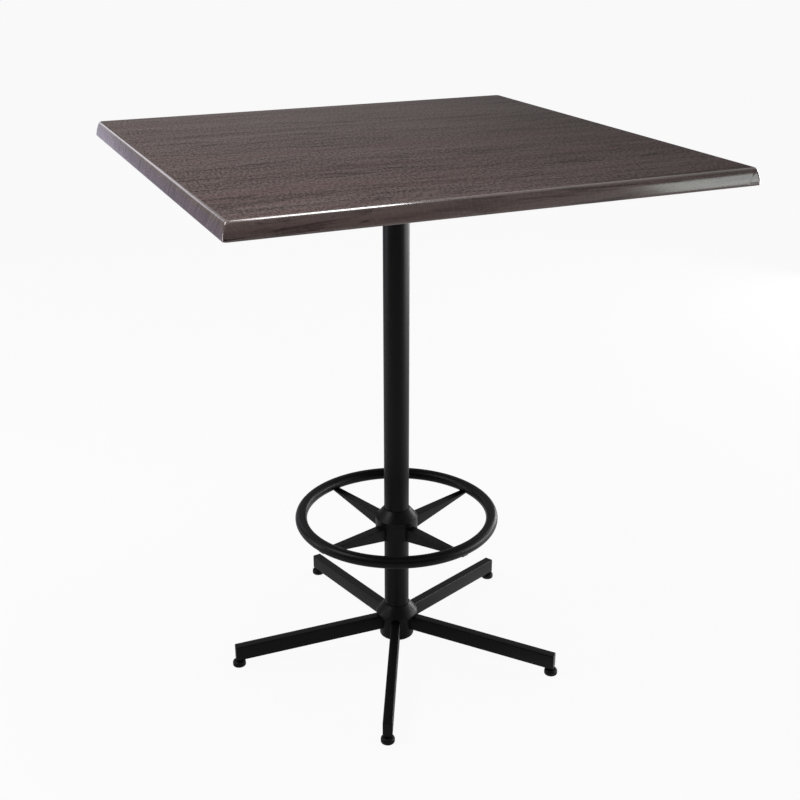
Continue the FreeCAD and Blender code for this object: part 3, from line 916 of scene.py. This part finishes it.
@dataclass
class Legs(SubAssembly):
    """Five sloping rectangular tubes with closed ends, welded to the base hub."""

    width: float = 19.05 * MM
    height: float = 31.75 * MM
    slope: float = math.radians(4.77)
    corner_round: float = 2.2 * MM
    reach: float = 346.2 * MM
    root_drop: float = 0.6 * MM
    root_sink: float = 1.5 * MM
    cap: float = 2.0 * MM
    cap_gap: float = 0.15 * MM
    cap_round: float = 1.8 * MM
    round_steps: int = 5
    bead_radius: float = 3.0 * MM
    bead_steps: int = 14
    bead_waist: float = 0.86
    ripple_power: float = 0.7
    ripples: int = 11
    ripple_steps: int = 5

    def __post_init__(self) -> None:
        """Work out where the legs start and how high their middles are there."""
        self.hub_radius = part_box("base_hub")[1].x
        self.rise = self.height / 2 / math.cos(self.slope)
        self.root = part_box("base_collar")[0].z - self.root_drop - self.rise

    def section(self, bm: Mesh, x: float) -> Face:
        """Make the leg's upright section at a distance from the axis."""
        middle = self.root - (x - self.hub_radius) * math.tan(self.slope)
        half = self.width / 2
        corners = ((-half, -self.rise), (half, -self.rise), (half, self.rise), (-half, self.rise))
        points = [Vector((x, y, middle + z)) for y, z in corners]
        return rounded_face(bm, points, [self.corner_round] * 4, self.round_steps)

    def bar(self, start: float, end: float) -> tuple[Mesh, Face]:
        """Make a stretch of leg between two distances and return it with its outer cap."""
        bm = bmesh.new()
        length = end - start
        face = self.section(bm, start)
        cap, _ = extrude_cap(bm, face, Vector((length, 0, -length * math.tan(self.slope))))
        return bm, cap

    def leg(self, i: int, degrees: float) -> None:
        """Model a leg's tube and its end cap."""
        bm, _ = self.bar(self.hub_radius - self.root_sink, self.reach - self.cap)
        face_outward(bm)
        self.painted(f"leg_tube_{i}", turn(bm, degrees), f"leg_{i}")
        bm, outer = self.bar(self.reach - self.cap + self.cap_gap, self.reach)
        round_edges(bm, list(outer.edges), self.cap_round, self.round_steps)
        face_outward(bm)
        self.painted(f"leg_end_{i}", turn(bm, degrees), f"leg_cap_{i}")

    def bead(self, side: float) -> Mesh:
        """Model one rippled weld bead up the corner between a leg and the hub."""
        x = math.sqrt(self.hub_radius**2 - (self.width / 2)**2)
        bottom = self.root - self.rise + self.corner_round
        length = 2 * (self.rise - self.corner_round)
        bm = bmesh.new()
        bmesh.ops.create_circle(bm, cap_ends=True, radius=self.bead_radius, segments=self.bead_steps)
        cap = next(iter(bm.faces))
        steps = self.ripples * self.ripple_steps
        scale = 1.0
        for step in range(steps):
            phase = ((step + 1) % self.ripple_steps) / self.ripple_steps
            swell = math.sin(math.pi * phase) ** self.ripple_power
            new_scale = self.bead_waist + (1 - self.bead_waist) * swell
            cap, _ = extrude_cap(bm, cap, Vector((0, 0, length / steps)), new_scale / scale)
            scale = new_scale
        face_outward(bm)
        return shift(bm, Vector((x, side * self.width / 2, bottom)))

    def build(self) -> None:
        """Model every leg and the beads that hold them."""
        beads = []
        for i in LEG_NUMBERS:
            pad = middle_of(f"glide_pad_{i}")
            degrees = math.degrees(math.atan2(pad.y, pad.x))
            self.leg(i, degrees)
            beads += [turn(self.bead(side), degrees) for side in (1, -1)]
        self.painted("leg_weld_beads", join(beads), "leg_welds")


@dataclass
class Glides(SubAssembly):
    """Round nylon feet, each on a black-plated screw with a hexagon to turn it by."""

    pad_radius: float = 13.5 * MM
    shoulder_round: float = 5.2 * MM
    foot_round: float = 2.6 * MM
    socket_radius: float = 7.06 * MM
    socket_round: float = 0.5 * MM
    floor: float = 5.0 * MM
    flange_radius: float = 7.0 * MM
    hexagon: float = 13.0 * MM
    hexagon_height: float = 1.6 * MM
    hexagon_gap: float = 0.3 * MM
    hexagon_round: float = 0.25 * MM
    shank: float = 3.0 * MM
    end_round: float = 0.4 * MM
    core_sink: float = 1.0 * MM
    pitch: float = 1.0 * MM
    thread_depth: float = 0.45 * MM
    ridge_sink: float = 0.1 * MM
    thread_crest: tuple[float, float] = (0.45, 0.55)
    steps_per_turn: int = 20
    pad_steps: int = 64
    flange_steps: int = 48
    rod_steps: int = 32
    hexagon_steps: int = 3

    def pad(self, i: int) -> None:
        """Model a foot with its socket."""
        node = f"glide_pad_{i}"
        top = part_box(node)[1].z
        outline = [
            (0.0, 0.0, 0.0),
            (self.pad_radius, 0.0, self.foot_round),
            (self.pad_radius, top, self.shoulder_round),
            (self.socket_radius, top, self.socket_round),
            (self.socket_radius, self.floor, 0.0),
            (0.0, self.floor, 0.0),
        ]
        bm = shift(revolve(outline, self.pad_steps), Vector((*middle_of(node).xy, 0.0)))
        finish_piece(f"glide_foot_{i}", bm, [self.finishes.nylon], node, [node])

    def thread(self, bottom: float, top: float) -> Mesh:
        """Model a screw thread as a ridge wound round the shank's core."""
        root = self.shank - self.thread_depth - self.ridge_sink
        turns = int((top - bottom) / self.pitch) - 1
        bm = bmesh.new()
        ridge = [
            Vector((root, 0, bottom)),
            *[Vector((self.shank, 0, bottom + share * self.pitch)) for share in self.thread_crest],
            Vector((root, 0, bottom + self.pitch)),
        ]
        face = bm.faces.new([bm.verts.new(p) for p in ridge])
        geometry = list(face.verts) + list(face.edges) + [face]
        climb = Vector((0, 0, self.pitch / self.steps_per_turn))
        bmesh.ops.spin(bm, geom=geometry, cent=(0, 0, 0), axis=(0, 0, 1), dvec=climb,
                       angle=math.tau * turns, steps=self.steps_per_turn * turns)
        face_outward(bm)
        return bm

    def stem(self, i: int) -> None:
        """Model a stem: its foot in the pad, its hexagon and its thread."""
        node = f"glide_stem_{i}"
        pad = f"glide_pad_{i}"
        low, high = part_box(node)
        hex_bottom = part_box(pad)[1].z + self.hexagon_gap
        hex_top = hex_bottom + self.hexagon_height
        flange = barrel(0.0, self.flange_radius, low.z, hex_bottom, 0.0, self.end_round, 0.0, 0.0)
        grip = bmesh.new()
        bmesh.ops.create_circle(grip, cap_ends=True, radius=self.hexagon / math.sqrt(3), segments=6)
        shift(grip, Vector((0, 0, hex_bottom)))
        extrude_cap(grip, next(iter(grip.faces)), Vector((0, 0, hex_top - hex_bottom)))
        round_edges(grip, list(grip.edges), self.hexagon_round, self.hexagon_steps)
        face_outward(grip)
        core = self.shank - self.thread_depth
        rod = barrel(0.0, core, hex_top - self.core_sink, high.z, 0.0, 0.0, self.end_round, 0.0)
        parts = [
            revolve(flange, self.flange_steps),
            grip,
            revolve(rod, self.rod_steps),
            self.thread(hex_top, high.z),
        ]
        bm = shift(join(parts), Vector((*middle_of(pad).xy, 0.0)))
        finish_piece(f"glide_screw_{i}", bm, [self.finishes.black_zinc], node, [node])

    def build(self) -> None:
        """Model all five glides."""
        for i in LEG_NUMBERS:
            self.pad(i)
            self.stem(i)


@dataclass
class CarriedOver(SubAssembly):
    """CAD nodes that keep their own shape and take a better finish."""

    def build(self) -> None:
        """Dress the plate, the weld and the fasteners."""
        coated = ("mounting_plate", "column_top_weld")
        plated = ("top_screws", "column_plug", "column_bolt", "column_washer", "ring_set_screws")
        for nodes, material in ((coated, self.finishes.coat), (plated, self.finishes.zinc)):
            for node in nodes:
                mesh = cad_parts[node].data
                mesh.materials.clear()
                mesh.materials.append(material)
                log.info("%s keeps its CAD shape", node)


# --- the studio


TOP_RIGHT_END = (0.43, -0.457, 1.06)
TOP_LEFT_EDGE = (-0.457, 0.0, 1.06)
COLUMN_MIDDLE = (0.0, 0.0, 0.6)


@dataclass(frozen=True)
class Lamp:
    """A rectangular soft lamp that the camera doesn't see.

    Its size is in metres. Its spread is the angle in degrees that its grid lets the light out over.
    """

    name: str
    place: Point
    aim: Point
    size: tuple[float, float]
    watts: float
    colour: RGB = (1.0, 1.0, 1.0)
    spread: float = 180.0

    def hang(self) -> None:
        """Hang the lamp in its place and face it to its aim."""
        data = bpy.data.lights.new(self.name, "AREA")
        data.shape = "RECTANGLE"
        data.size, data.size_y = self.size
        data.energy = self.watts
        data.color = self.colour
        data.spread = math.radians(self.spread)
        lamp = put_in_scene(self.name, data)
        lamp.location = self.place
        lamp.rotation_euler = (Vector(self.aim) - Vector(self.place)).to_track_quat("-Z", "Y").to_euler()
        lamp.visible_camera = False


LAMPS = (
    Lamp("key", (0.47, -0.95, 3.4), (-1.23, -0.95, 1.06), (4.0, 0.62), 24.0, spread=76.0),
    Lamp("high_left", (-1.9, 0.3, 2.4), (-0.3, 0.0, 1.06), (1.0, 1.0), 25.0),
    Lamp("left", (-2.9, 1.3, 0.7), COLUMN_MIDDLE, (0.8, 1.2), 19.0, (0.97, 0.93, 1.0)),
    Lamp("right", (2.8, -0.9, 0.52), COLUMN_MIDDLE, (2.2, 1.0), 60.0),
    Lamp("back_right", (3.0, 1.3, 0.52), COLUMN_MIDDLE, (1.0, 1.0), 32.0),
    Lamp("front_right", (2.45, -2.66, 1.5), TOP_RIGHT_END, (0.75, 0.9), 5.5, (0.93, 1.0, 0.96)),
    Lamp("back_left", (-1.2, 3.2, 1.75), TOP_LEFT_EDGE, (1.3, 0.9), 4.0, (0.96, 0.92, 1.0)),
    Lamp("low_back_left", (-0.66, 3.2, 0.62), TOP_LEFT_EDGE, (0.8, 1.1), 1.1, (0.87, 0.86, 1.0)),
)


@dataclass
class Studio:
    """Camera, pale floor, soft lamps and surroundings."""

    sensor_width: float = 36.0
    focal_pixels: float = 1199.0
    image_pixels: float = 800.0
    distance: float = 2.193
    height: float = 1.462
    azimuth: float = -23.62
    pitch: float = 22.36
    yaw: float = 0.186
    view_end: float = 200.0
    overhead_level: float = 0.46
    back_level: float = 0.52
    front_level: float = 0.14
    horizon_share: float = 0.09
    back_glow_way: Point = (-0.2, 0.98, 0.0)
    back_glow_level: float = 0.28
    right_glow_way: Point = (0.94, -0.34, 0.0)
    right_glow_level: float = 0.5
    world_tint: RGB = (1.0, 0.985, 0.985)
    floor_half: float = 40.0
    floor_grey: float = 0.62
    # Colours of the glow that mirrors see in the floor: a painted reflection that turns cooler towards the
    # back.
    near_mirror_glow: RGB = (0.95, 0.93, 0.96)
    far_mirror_glow: RGB = (0.52, 0.46, 0.86)
    seen_share: float = 0.93
    mirrored_share: float = 0.24

    def camera(self) -> None:
        """Place the camera and make it the scene's."""
        data = bpy.data.cameras.new("view")
        data.sensor_width = self.sensor_width
        data.lens = self.sensor_width * self.focal_pixels / self.image_pixels
        data.clip_end = self.view_end
        camera = put_in_scene("view", data)
        around = math.radians(self.azimuth)
        camera.location = (self.distance * math.sin(around), -self.distance * math.cos(around), self.height)
        camera.rotation_mode = "XYZ"
        camera.rotation_euler = (math.radians(90.0 - self.pitch), 0.0, around - math.radians(self.yaw))
        bpy.context.scene.camera = camera

    def floor(self) -> None:
        """Lay a pale floor that keeps a soft shadow.

        The camera sees it as white. A mirror sees a dim share of white glow, a painted reflection that
        turns cooler towards the back, and all of it in a painted pool of light to the right of the base.
        """
        bm = bmesh.new()
        bmesh.ops.create_grid(bm, x_segments=1, y_segments=1, size=self.floor_half)
        mesh = bpy.data.meshes.new("floor")
        bm.to_mesh(mesh)
        bm.free()
        material, g, shader = new_material("pale_floor")
        grey = (*[self.floor_grey] * 3, 1.0)
        g.feed(shader, {"Base Color": grey, "Roughness": 0.9, "Specular IOR Level": 0.0})
        path = g.add("LightPath").outputs
        place = g.add("TexCoord").outputs["Object"]
        across = g.add("SeparateXYZ", {0: place}).outputs
        # Painted reflection colour: the glow that mirrors see shifts from near to far colour towards the
        # back.
        mirrored_glow_colour = g.mix(g.remap(across["Y"], 1.5, 3.0), self.near_mirror_glow, self.far_mirror_glow)
        glow_colour = g.mix(path["Is Camera Ray"], mirrored_glow_colour, (1.0, 1.0, 1.0))
        glow = g.add("Emission", {"Color": glow_colour, "Strength": 1.0})
        mirrored = g.math("MAXIMUM", path["Is Glossy Ray"], path["Is Transmission Ray"])
        out = g.add("VectorMath", {0: place}, operation="LENGTH").outputs["Value"]
        # Painted pool of light to the right of the base. Only mirrors see it, so the metal shows a
        # highlight there.
        painted_light_pool = g.math("MULTIPLY", g.remap(across["X"], 0.05, 0.3), g.remap(out, 1.6, 0.9))
        mirrored_share = g.math("MULTIPLY_ADD", painted_light_pool, 1.0 - self.mirrored_share, self.mirrored_share)
        mirrored = g.math("MULTIPLY", mirrored, mirrored_share)
        share = g.math("MAXIMUM", g.math("MULTIPLY", path["Is Camera Ray"], self.seen_share), mirrored)
        mixed = g.add("MixShader", {0: share, 1: shader.outputs[0], 2: glow.outputs[0]})
        g.feed(g.find("OUTPUT_MATERIAL"), {"Surface": mixed.outputs[0]})
        mesh.materials.append(material)
        floor = put_in_scene("floor", mesh)

    def surroundings(self) -> None:
        """Fill the world with soft grey that shows as white.

        It is bright overhead, dim at the horizon and dimmest behind the viewer, with a low glow at the
        back and another at the right.
        """
        world = bpy.data.worlds.new("studio")
        bpy.context.scene.world = world
        world.use_nodes = True
        g = Graph(world.node_tree)
        direction = g.add("TexCoord").outputs["Generated"]

        def facing(way: Point) -> Socket:
            """Return how far the ray points along a direction."""
            return g.add("VectorMath", {0: direction, 1: way}, operation="DOT_PRODUCT").outputs["Value"]

        around = math.radians(self.azimuth)
        behind_table = facing((-math.sin(around), math.cos(around), 0.0))
        low_level = g.remap(behind_table, -0.6, 0.5, self.front_level, self.back_level)
        height = g.add("SeparateXYZ", {0: direction}).outputs["Z"]
        low_level = g.math("MULTIPLY", low_level, g.remap(height, 0.2, 0.42, self.horizon_share, 1.0))
        rise = g.remap(height, 0.45, 0.8)
        level = g.math("MULTIPLY_ADD", rise, g.math("SUBTRACT", self.overhead_level, low_level), low_level)
        glows = (
            (self.back_glow_way, self.back_glow_level, 0.22, 0.6, 0.9),
            (self.right_glow_way, self.right_glow_level, 0.4, 0.55, 0.95),
        )
        for way, strength, top, wide, narrow in glows:
            glow = g.math("MULTIPLY", g.remap(height, top, 0.05), g.remap(facing(way), wide, narrow))
            level = g.math("MULTIPLY_ADD", glow, strength, level)
        seen = g.add("LightPath").outputs["Is Camera Ray"]
        level = g.math("MULTIPLY_ADD", seen, g.math("SUBTRACT", 1.0, level), level)
        g.feed(g.find("BACKGROUND"), {"Strength": level, "Color": (*self.world_tint, 1.0)})

    def build(self) -> None:
        """Set up the view and the light."""
        self.camera()
        self.floor()
        self.surroundings()
        for lamp in LAMPS:
            lamp.hang()
        bpy.context.scene.view_settings.view_transform = "Standard"


def corners(box: tuple[Vector, Vector]) -> list[list[float]]:
    """Return a box's two corners as plain lists."""
    return [list(corner) for corner in box]


def main() -> None:
    """Build the studio and the table's pieces."""
    logging.basicConfig(level=logging.INFO, format="%(message)s")
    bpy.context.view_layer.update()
    Studio().build()
    finishes = Finishes()
    for sub_assembly in (MouldedTop, Column, Hubs, FootRing, Legs, Glides, CarriedOver):
        sub_assembly(finishes).build()


if __name__ == "__main__":
    main()
